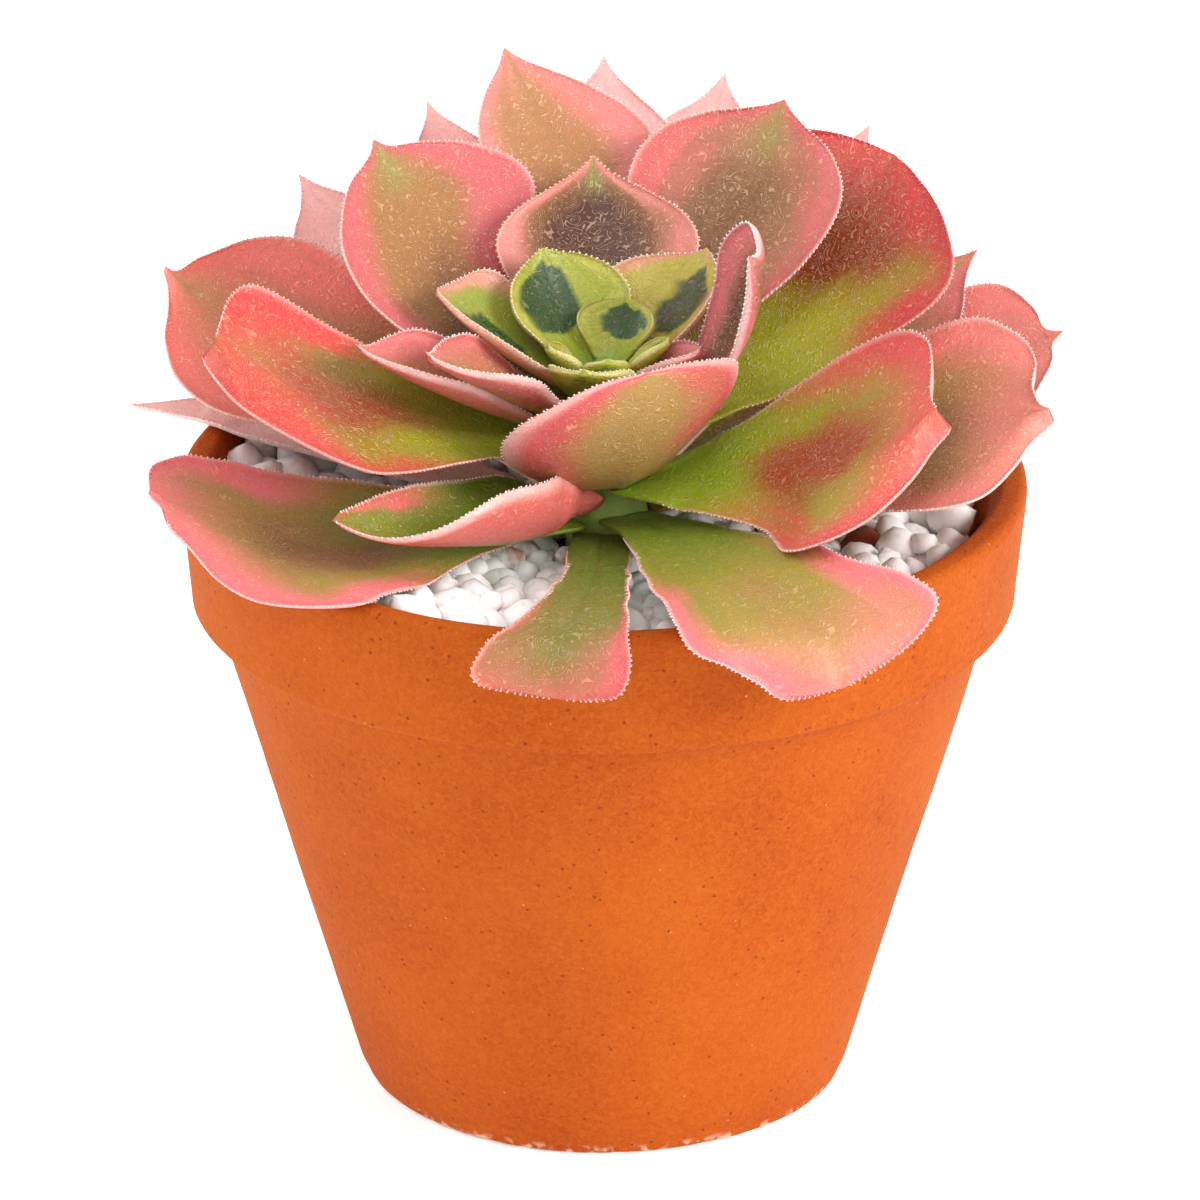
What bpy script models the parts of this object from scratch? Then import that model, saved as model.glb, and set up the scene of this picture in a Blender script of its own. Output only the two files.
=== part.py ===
"""A rosette succulent rooted in a terracotta flower pot topped with white gravel.

Every solid stands in one frame: metres, +Z up, the pot's axis on the Z axis and its base at z = 0.
+X is the plant's right-hand side and -Y is its front.
"""

import math
from collections import namedtuple

import bmesh
import bpy
from mathutils import Vector

MM = 0.001
GAP = 0.3 * MM  # clearance kept between pieces that touch in the real object

# Pot: a standard 15 cm terracotta flower pot with a collar.
POT_HEIGHT = 113 * MM
BASE_RADIUS = 43 * MM
SHOULDER_RADIUS = 69 * MM  # body radius just under the collar
COLLAR_FOOT_RADIUS = 73 * MM
RIM_RADIUS = 75 * MM
COLLAR_HEIGHT = 23 * MM
LIP_WIDTH = 5.3 * MM
WALL = 5 * MM
FLOOR = 6 * MM
LIP_ROUNDING = 1.6 * MM
BASE_ROUNDING = 1.2 * MM
INNER_FILLET = 3 * MM
INNER_LEDGE_DEPTH = 5 * MM  # a shallow ledge runs round the inside this far below the rim
INNER_LEDGE = 0.8 * MM
DRAIN_RADIUS = 7 * MM
POT_SIDES = 48

# Filling: potting soil with a layer of gravel on it.
SOIL_TOP = 98 * MM
GRAVEL_TOP = 108 * MM
GRAVEL_SHOULDER_RADIUS = 52 * MM  # from here the gravel slopes down towards the stem
GRAVEL_MIDDLE_RADIUS = 34 * MM
GRAVEL_MIDDLE = 105 * MM
GRAVEL_FOOT = 101.5 * MM  # where it meets the stem

# Stem: a short woody stem, ending in the cone on which the leaves are seated.
STEM_FOOT = 84 * MM
NECK_RADIUS = 7 * MM
NECK_TOP = 102 * MM
CROWN_FOOT = 105 * MM
CROWN_TOP = 134 * MM
CROWN_FOOT_RADIUS = 8 * MM
CROWN_TOP_RADIUS = 2.5 * MM
STEM_SIDES = 24

# Leaves: thickest at the seat, thinnest at the tip and along the margins.
SEAT_THICKNESS = 2.0 * MM
TIP_THICKNESS = 1.2 * MM
MARGIN_THINNING = 0.45  # part of the thickness that a margin lacks
SEAT_GAP = 0.4 * MM
TIP_WIDTH = 0.02  # part of the leaf's width left at its very tip
MIDRIB_STEPS = 60  # short straight steps that make up the curved midrib
ROLL_REACH = 0.25  # the leaf turns onto its side over this first part of its length
RING_PLACES = (0.0, 0.12, 0.26, 0.42, 0.56, 0.70, 0.82, 0.91, 0.97, 1.0)
ACROSS = (-1.0, -0.5, 0.0, 0.5, 1.0)

TERRACOTTA = (0.66, 0.22, 0.06, 1.0)
SOIL_BROWN = (0.05, 0.035, 0.025, 1.0)
GRAVEL_WHITE = (0.78, 0.76, 0.74, 1.0)
STEM_GREEN = (0.25, 0.30, 0.08, 1.0)
ROSE = (0.74, 0.24, 0.20, 1.0)
RED = (0.62, 0.10, 0.08, 1.0)
PALE_ROSE = (0.84, 0.50, 0.46, 1.0)
OLIVE = (0.34, 0.33, 0.08, 1.0)
HEART_GREEN = (0.30, 0.44, 0.12, 1.0)

# heading: the way the leaf points seen from above, degrees from +X towards +Y
# seat: height of its seat above the foot of the crown, mm; length and width, mm
# rise: its climb at the seat, degrees; curl: the change of climb from seat to tip
# cup: half angle of the channel across it; right_cup: factor on the cup of its right-hand half
# roll: turn about its own length that lifts the left-hand half; sway: change of heading to the tip
# widest: where it is widest, as part of its length; bluntness: 2 makes the end elliptic
# seat_width: width at the seat, as part of the width; lateness: how late along it the curl comes
Leaf = namedtuple(
    "Leaf",
    "name heading seat length width rise curl cup roll colour "
    "widest bluntness seat_width lateness sway right_cup",
    defaults=(0.66, 2.0, 0.22, 1.0, 0.0, 1.0),
)

LEAVES = (
    # Outer leaves, resting over the rim or hidden low at the back.
    Leaf("front_small", 263, 0, 81, 30, 12, -85, 8, 0, OLIVE, 0.92, 3.0, 0.38, 9),
    Leaf("left_far", 160, 0, 80, 22, 11, -18, 10, 0, PALE_ROSE, lateness=3),
    Leaf("back_low_right", 64, 0, 78, 36, 8, 6, 10, 0, PALE_ROSE),
    Leaf("back_low_left", 108, 2, 82, 36, 9, 6, 10, 0, PALE_ROSE),
    Leaf("right_far", 22, 2, 81, 42, 8, 6, 10, 8, ROSE, 0.75),
    Leaf("front_left", 212, 2, 79, 46, 11, -4, 15, -14, OLIVE, 0.70),
    Leaf("front_right", 297, 3, 82, 46, 12, -75, 8, 4, OLIVE, 0.82, 3.0, lateness=6),
    Leaf("back_left_low", 128, 4, 82, 38, 12, 6, 10, -5, PALE_ROSE),
    Leaf("back_right_low", 39, 5, 82, 40, 14, 6, 10, 5, ROSE),
    Leaf("left_curled", 226, 5, 57, 44, 8, 10, 138, -34, ROSE, 0.50, right_cup=0.15),
    Leaf("right_low", 346, 7, 74, 44, 15, 2, 15, 14, ROSE, 0.76),
    # Long leaves that stand up round the back.
    Leaf("back_left", 129, 6, 86, 42, 18, 8, 12, -5, PALE_ROSE),
    Leaf("back_right", 55, 7, 86, 42, 25, 6, 12, 0, PALE_ROSE),
    Leaf("back_mid_left", 115, 8, 81, 36, 29, 8, 12, 0, PALE_ROSE),
    Leaf("back_mid_right", 73, 10.5, 82, 38, 30, 8, 12, 0, PALE_ROSE),
    Leaf("back_mid", 90, 13, 78, 38, 34, 8, 12, 0, PALE_ROSE, seat_width=0.18),
    # Broad leaves of the open ring.
    Leaf("right_front", 329, 9, 64, 46, 18, 8, 20, 26, RED, 0.74),
    Leaf("left_out", 160, 13, 78, 46, 12, 8, 20, -20, ROSE, 0.74, seat_width=0.16),
    Leaf("left_front", 201, 15.2, 72, 44, 20, 8, 25, -22, RED),
    Leaf("right_broad", 40, 14.8, 72, 48, 27, 12, 20, 18, RED, 0.74, seat_width=0.16),
    Leaf("top_left", 96, 16, 73, 31, 38, 12, 12, 0, ROSE, 0.80, sway=14, seat_width=0.18),
    Leaf("upper_right", 53, 18.5, 64, 42, 33, 18, 20, 8, ROSE, 0.74, 2.4),
    Leaf("upper_left", 139, 19.5, 60, 44, 33, 14, 20, -8, ROSE, 0.74, 2.4, 0.18),
    # Smaller leaves round the heart.
    Leaf("front_cup", 283, 10.8, 38.5, 46, 2, 84, 30, 14, ROSE, seat_width=0.2, lateness=0.7),
    Leaf("left_fold_low", 208, 17.5, 50, 22, 24, 10, 50, -10, ROSE),
    Leaf("left_fold_high", 222, 20, 43, 21, 26, 10, 55, -10, ROSE),
    Leaf("right_fold", -9, 19.4, 47, 20, 3, 92, 55, 24, ROSE, lateness=0.65, seat_width=0.17),
    Leaf("centre_back", 93, 21.5, 46, 36, 38, 14, 25, 0, ROSE, 0.72, 2.4),
    Leaf("left_inner", 180.5, 24.4, 31, 25, 30, 14, 40, -4, HEART_GREEN),
    Leaf("right_inner", 51, 24.5, 28, 24, 38, 10, 35, 0, HEART_GREEN),
    Leaf("pink_inner", 340, 25.5, 17, 12, 22, 20, 50, 0, ROSE),
    # The heart: young green leaves folded round the growing point.
    Leaf("heart_front", 258, 23, 17, 17, 30, 24, 50, 0, HEART_GREEN),
    Leaf("heart_left", 124, 26.5, 24, 25.5, 36, 24, 35, 0, HEART_GREEN),
    Leaf("heart_middle", 70, 28.5, 12, 16, 38, 24, 45, 0, HEART_GREEN),
    Leaf("bud_left", 200, 27, 10, 9, 30, 30, 50, 0, HEART_GREEN),
    Leaf("bud_front", 275, 26, 8, 9, 40, 40, 50, 0, HEART_GREEN),
    Leaf("bud_right", 350, 28, 11, 7, 24, 30, 50, 0, HEART_GREEN),
)


def clear_scene():
    """Remove every object that the open file holds."""
    for thing in list(bpy.data.objects):
        bpy.data.objects.remove(thing, do_unlink=True)


def principled(name, colour, roughness):
    """A plain material for one piece."""
    material = bpy.data.materials.new(name)
    material.use_nodes = True
    shader = material.node_tree.nodes["Principled BSDF"]
    shader.inputs["Base Color"].default_value = colour
    shader.inputs["Roughness"].default_value = roughness
    return material


def add_piece(name, mesh_data, colour, roughness):
    """Turn a bmesh into a named object with its own material."""
    bmesh.ops.recalc_face_normals(mesh_data, faces=mesh_data.faces)
    mesh = bpy.data.meshes.new(name)
    mesh_data.to_mesh(mesh)
    mesh_data.free()
    mesh.shade_smooth()
    mesh.set_sharp_from_angle(angle=math.radians(40))
    mesh.materials.append(principled(name, colour, roughness))
    piece = bpy.data.objects.new(name, mesh)
    bpy.context.scene.collection.objects.link(piece)
    return piece


def turned(name, outline, sides, colour, roughness):
    """Turn an outline of (radius, height) points about the Z axis into one closed solid."""
    mesh_data = bmesh.new()
    points = [mesh_data.verts.new((radius, 0, height)) for radius, height in outline]
    edges = [mesh_data.edges.new(pair) for pair in zip(points, points[1:])]
    if outline[0][0] > 0:
        edges.append(mesh_data.edges.new((points[-1], points[0])))
    bmesh.ops.spin(
        mesh_data,
        geom=points + edges,
        cent=(0, 0, 0),
        axis=(0, 0, 1),
        angle=math.tau,
        steps=sides,
        use_merge=True,
    )
    bmesh.ops.remove_doubles(mesh_data, verts=mesh_data.verts, dist=GAP / 30)
    return add_piece(name, mesh_data, colour, roughness)


def arc(centre, radius, start, end, count):
    """Points of an arc in the (radius, height) plane, angles in degrees."""
    points = []
    for step in range(count + 1):
        angle = math.radians(start + (end - start) * step / count)
        points.append((centre[0] + radius * math.cos(angle), centre[1] + radius * math.sin(angle)))
    return points


def pot_inner_radius(height):
    """The inner wall is one straight taper from the floor up to the lip."""
    slope = (SHOULDER_RADIUS - BASE_RADIUS) / (POT_HEIGHT - COLLAR_HEIGHT)
    floor_radius = BASE_RADIUS + slope * FLOOR - WALL
    lip_radius = RIM_RADIUS - LIP_WIDTH
    return floor_radius + (lip_radius - floor_radius) * (height - FLOOR) / (POT_HEIGHT - FLOOR)


def flower_pot():
    """Tapered body, overhanging collar with a rounded lip, and a drain hole in the floor."""
    collar_foot = POT_HEIGHT - COLLAR_HEIGHT
    ledge = POT_HEIGHT - INNER_LEDGE_DEPTH
    outline = [(DRAIN_RADIUS, FLOOR), (DRAIN_RADIUS, 0)]
    outline += arc((BASE_RADIUS - BASE_ROUNDING, BASE_ROUNDING), BASE_ROUNDING, -90, 0, 3)
    outline.append((SHOULDER_RADIUS, collar_foot - 1.0 * MM))
    outline.append((SHOULDER_RADIUS + 0.8 * MM, collar_foot))
    outline.append((COLLAR_FOOT_RADIUS - 1.0 * MM, collar_foot))
    outline.append((COLLAR_FOOT_RADIUS, collar_foot + 1.0 * MM))
    outline += arc((RIM_RADIUS - LIP_ROUNDING, POT_HEIGHT - LIP_ROUNDING), LIP_ROUNDING, 0, 90, 4)
    inner_lip = (RIM_RADIUS - LIP_WIDTH + LIP_ROUNDING, POT_HEIGHT - LIP_ROUNDING)
    outline += arc(inner_lip, LIP_ROUNDING, 90, 180, 4)
    outline.append((pot_inner_radius(ledge) + INNER_LEDGE, ledge + INNER_LEDGE))
    outline.append((pot_inner_radius(ledge), ledge))
    outline.append((pot_inner_radius(FLOOR + INNER_FILLET), FLOOR + INNER_FILLET))
    outline.append((pot_inner_radius(FLOOR) - INNER_FILLET, FLOOR))
    return turned("flower_pot", outline, POT_SIDES, TERRACOTTA, 0.85)


def potting_soil():
    """Soil that fills the pot up to the gravel, with a socket for the stem."""
    bottom = FLOOR + GAP
    chamfer = INNER_FILLET + 1.0 * MM
    outline = [
        (0, bottom),
        (pot_inner_radius(bottom) - chamfer, bottom),
        (pot_inner_radius(bottom + chamfer) - GAP, bottom + chamfer),
        (pot_inner_radius(SOIL_TOP) - GAP, SOIL_TOP),
        (NECK_RADIUS + GAP, SOIL_TOP),
        (NECK_RADIUS + GAP, STEM_FOOT - GAP),
        (0, STEM_FOOT - GAP),
    ]
    return turned("potting_soil", outline, POT_SIDES, SOIL_BROWN, 0.95)


def gravel_bed():
    """The layer of white gravel, dished towards the stem."""
    bottom = SOIL_TOP + GAP
    outline = [
        (NECK_RADIUS + GAP, bottom),
        (pot_inner_radius(bottom) - GAP, bottom),
        (pot_inner_radius(GRAVEL_TOP) - GAP, GRAVEL_TOP),
        (GRAVEL_SHOULDER_RADIUS, GRAVEL_TOP),
        (GRAVEL_MIDDLE_RADIUS, GRAVEL_MIDDLE),
        (NECK_RADIUS + 9 * MM, GRAVEL_FOOT + 1.0 * MM),
        (NECK_RADIUS + GAP, GRAVEL_FOOT),
    ]
    return turned("gravel_bed", outline, POT_SIDES, GRAVEL_WHITE, 0.8)


def crown_radius(height):
    """Radius of the cone that carries the leaves."""
    part = (height - CROWN_FOOT) / (CROWN_TOP - CROWN_FOOT)
    return CROWN_FOOT_RADIUS + (CROWN_TOP_RADIUS - CROWN_FOOT_RADIUS) * min(max(part, 0), 1)


def stem():
    """A straight neck in the soil and gravel, and the cone above it."""
    outline = [
        (0, STEM_FOOT),
        (NECK_RADIUS, STEM_FOOT),
        (NECK_RADIUS, NECK_TOP),
        (CROWN_FOOT_RADIUS, CROWN_FOOT),
        (CROWN_TOP_RADIUS, CROWN_TOP),
        (0.5 * CROWN_TOP_RADIUS, CROWN_TOP + 0.8 * MM),
        (0, CROWN_TOP + 1.0 * MM),
    ]
    return turned("stem", outline, STEM_SIDES, STEM_GREEN, 0.6)


def leaf_half_width(leaf, place):
    """Half the width at a place along the leaf, from 0 at the seat to 1 at the tip."""
    if place < leaf.widest:
        growth = math.sin(math.pi / 2 * place / leaf.widest) ** 1.3
        part = leaf.seat_width + (1 - leaf.seat_width) * growth
    elif place < 1:
        part = (1 - ((place - leaf.widest) / (1 - leaf.widest)) ** 2) ** (1 / leaf.bluntness)
    else:
        part = TIP_WIDTH
    return 0.5 * leaf.width * MM * part


def midrib(leaf):
    """Points along the midrib, each with its across direction (to the left) and its up direction."""
    seat_height = CROWN_FOOT + leaf.seat * MM
    seat_radius = crown_radius(seat_height) + SEAT_GAP
    heading = math.radians(leaf.heading)
    point = Vector((seat_radius * math.cos(heading), seat_radius * math.sin(heading), seat_height))
    frames = []
    for step in range(MIDRIB_STEPS + 1):
        place = step / MIDRIB_STEPS
        climb = math.radians(leaf.rise + leaf.curl * place ** leaf.lateness)
        heading = math.radians(leaf.heading + leaf.sway * place)
        outwards = Vector((math.cos(heading), math.sin(heading), 0))
        leftwards = Vector((-math.sin(heading), math.cos(heading), 0))
        along = outwards * math.cos(climb) + Vector((0, 0, math.sin(climb)))
        upwards = along.cross(leftwards)
        roll = math.radians(leaf.roll) * min(1, place / ROLL_REACH)
        across = leftwards * math.cos(roll) + upwards * math.sin(roll)
        frames.append((point.copy(), across, along.cross(across)))
        point += along * leaf.length * MM / MIDRIB_STEPS
    return frames


def leaf_section(leaf, place, frame):
    """The closed outline of the leaf cut across at one place: its upper face, then its lower one."""
    centre, across, upwards = frame
    half_width = leaf_half_width(leaf, place)
    thickness = SEAT_THICKNESS + (TIP_THICKNESS - SEAT_THICKNESS) * place
    opening = min(1, 0.4 + 2 * place)
    upper = []
    lower = []
    for side in ACROSS:
        cup = math.radians(leaf.cup) * opening * (1 if side > 0 else leaf.right_cup)
        offset = across * math.sin(cup * side) + upwards * (1 - math.cos(cup * side))
        normal = upwards * math.cos(cup * side) - across * math.sin(cup * side)
        surface = centre + offset * half_width / cup
        depth = thickness * (1 - MARGIN_THINNING * side * side)
        upper.append(surface)
        lower.append(surface - normal * depth)
    return upper + lower[::-1]


def leaf_blade(leaf):
    """One closed leaf, skinned over the sections along its midrib."""
    frames = midrib(leaf)
    mesh_data = bmesh.new()
    rings = []
    for place in RING_PLACES:
        section = leaf_section(leaf, place, frames[round(place * MIDRIB_STEPS)])
        rings.append([mesh_data.verts.new(point) for point in section])
    for ring, following in zip(rings, rings[1:]):
        for index, corner in enumerate(ring):
            before = index - 1
            mesh_data.faces.new((ring[before], corner, following[index], following[before]))
    mesh_data.faces.new(rings[0])
    mesh_data.faces.new(rings[-1][::-1])
    return add_piece(leaf.name + "_leaf", mesh_data, leaf.colour, 0.5)


clear_scene()
flower_pot()
potting_soil()
gravel_bed()
stem()
for leaf in LEAVES:
    leaf_blade(leaf)
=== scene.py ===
"""Looks of a rosette succulent in a terracotta pot topped with white gravel.

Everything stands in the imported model's frame: metres, +Z up, the pot's axis on the Z axis,
its base at z = 0, and the plant's front towards -Y.
"""

import math
from collections import namedtuple

import bpy
import numpy as np
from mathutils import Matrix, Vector, noise
from mathutils.bvhtree import BVHTree


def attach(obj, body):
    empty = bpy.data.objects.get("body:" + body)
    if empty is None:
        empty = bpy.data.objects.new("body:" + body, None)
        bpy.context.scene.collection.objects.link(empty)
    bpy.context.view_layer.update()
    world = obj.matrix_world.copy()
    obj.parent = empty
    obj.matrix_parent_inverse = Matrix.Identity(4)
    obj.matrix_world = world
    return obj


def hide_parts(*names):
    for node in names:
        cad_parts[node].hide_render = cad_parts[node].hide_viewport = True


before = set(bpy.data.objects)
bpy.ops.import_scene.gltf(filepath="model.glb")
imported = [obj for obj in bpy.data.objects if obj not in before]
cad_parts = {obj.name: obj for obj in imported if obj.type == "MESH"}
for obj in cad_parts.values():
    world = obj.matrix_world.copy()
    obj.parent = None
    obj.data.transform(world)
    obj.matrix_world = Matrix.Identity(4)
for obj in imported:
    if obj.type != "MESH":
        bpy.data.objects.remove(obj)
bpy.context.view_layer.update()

# ---------------------------------------------------------------------------
# Flower pot: red clay pressed in a turning mould, dried and fired once, with no glaze.
# A collar runs round its top, a small ledge round the inside of its lip, and a drain hole
# goes through its floor. Standing and sliding have rubbed the edge of its foot paler.
# ---------------------------------------------------------------------------

MM = 0.001
POT_SIDES = 144
POT_HEIGHT = 113
BASE_RADIUS = 43
SHOULDER_RADIUS = 69  # body radius just under the collar
COLLAR_FOOT_RADIUS = 73
COLLAR_FOOT = 90
RIM_RADIUS = 75
LIP_WIDTH = 5.3
LIP_ROUNDING = 1.7
LEDGE_HEIGHT = 108  # of the inside ledge
FLOOR_THICKNESS = 6
DRAIN_RADIUS = 7
INNER_FLOOR_RADIUS = 39.73
INNER_LIP_RADIUS = 69.7
EDGE_ROUNDING = 1.6  # of the foot and of the collar's lower edge
COVE_ROUNDING = 1.0  # of the cove under the collar
DRAIN_BEVEL = 0.8
BODY_STEPS = 24
COLLAR_STEPS = 8
WEAR_HEIGHT = 2.2


def linear_colour(code):
    """An sRGB hex colour as linear RGBA."""
    channels = [int(code[at:at + 2], 16) / 255 for at in (1, 3, 5)]
    return [c / 12.92 if c <= 0.04045 else ((c + 0.055) / 1.055) ** 2.4 for c in channels] + [1]


def add_node(tree, kind, inputs=None, **settings):
    """Add a shader node with its settings; an input is a value, or an output to link from."""
    node = tree.nodes.new("ShaderNode" + kind)
    for name, value in settings.items():
        setattr(node, name, value)
    for socket, value in (inputs or {}).items():
        if isinstance(value, bpy.types.NodeSocket):
            tree.links.new(value, node.inputs[socket])
        else:
            node.inputs[socket].default_value = value
    return node


def new_material(name):
    """A node material, with its tree and its shader."""
    material = bpy.data.materials.new(name)
    material.use_nodes = True
    return material, material.node_tree, material.node_tree.nodes["Principled BSDF"]


def finish_piece(piece, material, slot, *replaced):
    """Give a piece its material, its body and the CAD nodes that it replaces. The slot is not used."""
    piece.data.materials.clear()
    piece.data.materials.append(material)
    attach(piece, "root")
    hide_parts(*replaced)


def arc(radius, height, rounding, start, end, count=6):
    """Points (radius, height) of an arc about one point, angles in degrees."""
    angles = np.radians(np.linspace(start, end, count + 1))
    return [(radius + rounding * math.cos(a), height + rounding * math.sin(a)) for a in angles]


def turned_piece(name, outline, sides):
    """Extrude one point along an outline of (radius, height) in mm, then spin it about the Z axis."""
    bpy.ops.object.select_all(action="DESELECT")
    bpy.ops.mesh.primitive_plane_add(size=MM)
    piece = bpy.context.object
    piece.name = name
    bpy.ops.object.mode_set(mode="EDIT")
    bpy.ops.mesh.merge(type="CENTER")
    bpy.ops.transform.translate(value=(outline[0][0] * MM, 0, outline[0][1] * MM))
    for (radius, height), (next_radius, next_height) in zip(outline, outline[1:]):
        step = ((next_radius - radius) * MM, 0, (next_height - height) * MM)
        bpy.ops.mesh.extrude_vertices_move(TRANSFORM_OT_translate={"value": step})
    bpy.ops.mesh.select_all(action="SELECT")
    bpy.ops.mesh.remove_doubles(threshold=0.01 * MM)
    bpy.ops.mesh.spin(steps=sides, angle=math.tau, center=(0, 0, 0), axis=(0, 0, 1))
    bpy.ops.mesh.select_all(action="SELECT")
    bpy.ops.mesh.remove_doubles(threshold=0.01 * MM)
    bpy.ops.mesh.normals_make_consistent(inside=False)
    bpy.ops.object.mode_set(mode="OBJECT")
    return piece


def pot_inner_radius(height):
    """The inner wall is one straight taper, in mm."""
    climb = (height - FLOOR_THICKNESS) / (POT_HEIGHT - FLOOR_THICKNESS)
    return INNER_FLOOR_RADIUS + (INNER_LIP_RADIUS - INNER_FLOOR_RADIUS) * climb


def shake(mesh, size, depth, seed, upright=1.0):
    """Push each vertex along its normal by noise: its grain size and depth in mm."""
    normals = [vertex.normal.copy() for vertex in mesh.vertices]
    offset = Vector((seed * 7.3, seed * 3.1, seed * 5.7))
    for vertex, normal in zip(mesh.vertices, normals):
        place = vertex.co / (size * MM)
        place.z /= upright
        vertex.co += normal * noise.noise(place + offset) * depth * MM


pot_outline = [(DRAIN_RADIUS, FLOOR_THICKNESS - DRAIN_BEVEL), (DRAIN_RADIUS, DRAIN_BEVEL)]
pot_outline += [(DRAIN_RADIUS + DRAIN_BEVEL, 0), (20, 0), (32, 0)]
pot_outline += arc(BASE_RADIUS - EDGE_ROUNDING, EDGE_ROUNDING, EDGE_ROUNDING, -90, -10)
for step in range(1, BODY_STEPS):
    climb = step / BODY_STEPS
    pot_outline.append((BASE_RADIUS + (SHOULDER_RADIUS - BASE_RADIUS) * climb, COLLAR_FOOT * climb))
pot_outline += arc(SHOULDER_RADIUS + COVE_ROUNDING, COLLAR_FOOT - COVE_ROUNDING, COVE_ROUNDING, 165, 90, 4)
pot_outline += arc(COLLAR_FOOT_RADIUS - EDGE_ROUNDING, COLLAR_FOOT + EDGE_ROUNDING, EDGE_ROUNDING, -90, 0)
for step in range(1, COLLAR_STEPS):
    climb = step / COLLAR_STEPS
    pot_outline.append((COLLAR_FOOT_RADIUS + (RIM_RADIUS - COLLAR_FOOT_RADIUS) * climb,
                        COLLAR_FOOT + 2 + (POT_HEIGHT - COLLAR_FOOT - 4) * climb))
pot_outline += arc(RIM_RADIUS - LIP_ROUNDING, POT_HEIGHT - LIP_ROUNDING, LIP_ROUNDING, 0, 90)
pot_outline += arc(RIM_RADIUS - LIP_WIDTH + LIP_ROUNDING, POT_HEIGHT - LIP_ROUNDING, LIP_ROUNDING, 90, 180)
pot_outline += arc(pot_inner_radius(LEDGE_HEIGHT) + 0.9, LEDGE_HEIGHT + 1.2, 0.9, 180, 260, 4)
pot_outline += [(pot_inner_radius(LEDGE_HEIGHT) - 0.1, LEDGE_HEIGHT)]
pot_outline += [(pot_inner_radius(height), height) for height in (100, 85, 70, 55, 40, 25, 12)]
pot_outline += arc(INNER_FLOOR_RADIUS - 2.6, FLOOR_THICKNESS + 3, 3, 0, -90)
pot_outline += [(20, FLOOR_THICKNESS), (DRAIN_RADIUS + DRAIN_BEVEL, FLOOR_THICKNESS)]
pot_outline.append(pot_outline[0])
pot = turned_piece("terracotta_pot", pot_outline, POT_SIDES)
shake(pot.data, 38, 0.35, 1)  # slightly out of true, as dried clay is
shake(pot.data, 5, 0.08, 2, upright=0.35)  # faint turning marks
for vertex in pot.data.vertices:
    vertex.co.z = max(vertex.co.z, 0)
pot.data.shade_smooth()

# Fired red clay: matt, with a sandy grain of about half a millimetre, pits where grog has
# fallen out every three millimetres or so, darkened with painted shade, pale grains of lime every
# five, slow clouds of colour some four centimetres wide, and a paler bloom where the foot is rubbed.
pot_clay, tree, shader = new_material("fired_terracotta")
place = add_node(tree, "TexCoord").outputs["Object"]
height = add_node(tree, "SeparateXYZ", {"Vector": place}).outputs["Z"]
clouds = add_node(tree, "TexNoise", {"Vector": place, "Scale": 28, "Detail": 3}).outputs["Fac"]
grain = add_node(tree, "TexNoise", {"Vector": place, "Scale": 1000, "Detail": 2,
                                    "Distortion": 1.2}).outputs["Fac"]
cloud_share = add_node(tree, "MapRange", {0: clouds, 1: 0.35, 2: 0.65})
cloud_colour = add_node(tree, "Mix", {0: cloud_share.outputs[0], 6: linear_colour("#9c3e04"),
                                      7: linear_colour("#aa4c0a")}, data_type="RGBA")
grain_share = add_node(tree, "MapRange", {0: grain, 1: 0.3, 2: 0.7, 3: 0.0, 4: 0.5})
grain_colour = add_node(tree, "Mix", {0: grain_share.outputs[0], 6: cloud_colour.outputs[2],
                                      7: linear_colour("#c0641c")}, data_type="RGBA")
pits = add_node(tree, "TexVoronoi", {"Vector": place, "Scale": 330})
pit_share = add_node(tree, "MapRange", {0: pits.outputs["Distance"], 1: 0.06, 2: 0.12, 3: 1.0, 4: 0.0})
# Painted shade: the recessed pits are painted a darker clay colour.
pit_shade_colour = add_node(tree, "Mix", {0: pit_share.outputs[0], 6: grain_colour.outputs[2],
                                    7: linear_colour("#8a3c16")}, data_type="RGBA")
specks = add_node(tree, "TexVoronoi", {"Vector": place, "Scale": 210})
speck_share = add_node(tree, "MapRange", {0: specks.outputs["Distance"], 1: 0.02, 2: 0.05, 3: 0.4, 4: 0.0})
speck_colour = add_node(tree, "Mix", {0: speck_share.outputs[0], 6: pit_shade_colour.outputs[2],
                                      7: linear_colour("#f2c39c")}, data_type="RGBA")
wear_low = add_node(tree, "MapRange", {0: height, 1: 0.0, 2: WEAR_HEIGHT * MM, 3: 0.85, 4: 0.0})
wear_noise = add_node(tree, "TexNoise", {"Vector": place, "Scale": 420, "Detail": 2}).outputs["Fac"]
wear_part = add_node(tree, "MapRange", {0: wear_noise, 1: 0.5, 2: 0.62})
wear_share = add_node(tree, "Math", {0: wear_low.outputs[0], 1: wear_part.outputs[0]}, operation="MULTIPLY")
clay_colour = add_node(tree, "Mix", {0: wear_share.outputs[0], 6: speck_colour.outputs[2],
                                     7: linear_colour("#f0d2ba")}, data_type="RGBA")
tree.links.new(clay_colour.outputs[2], shader.inputs["Base Color"])
pit_depth = add_node(tree, "Math", {0: grain, 1: pit_share.outputs[0]}, operation="SUBTRACT")
clay_bump = add_node(tree, "Bump", {"Strength": 0.8, "Distance": 0.3 * MM, "Height": pit_depth.outputs[0]})
tree.links.new(clay_bump.outputs[0], shader.inputs["Normal"])
shader.inputs["Roughness"].default_value = 0.75
shader.inputs["Specular IOR Level"].default_value = 0.12
finish_piece(pot, pot_clay, "terracotta", "flower_pot")

# ---------------------------------------------------------------------------
# Potting soil: dark peat with bark and grit, pressed in lightly and filled up to the gravel.
# It shows between the stones and through the drain hole.
# ---------------------------------------------------------------------------

SOIL_TOP = 98
SOIL_GAP = 0.35  # kept clear of the clay
SOIL_CRUMB = 0.7  # height of its crumbs
NECK_RADIUS = 7  # of the stem below the crown
NECK_FOOT = 84

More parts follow.
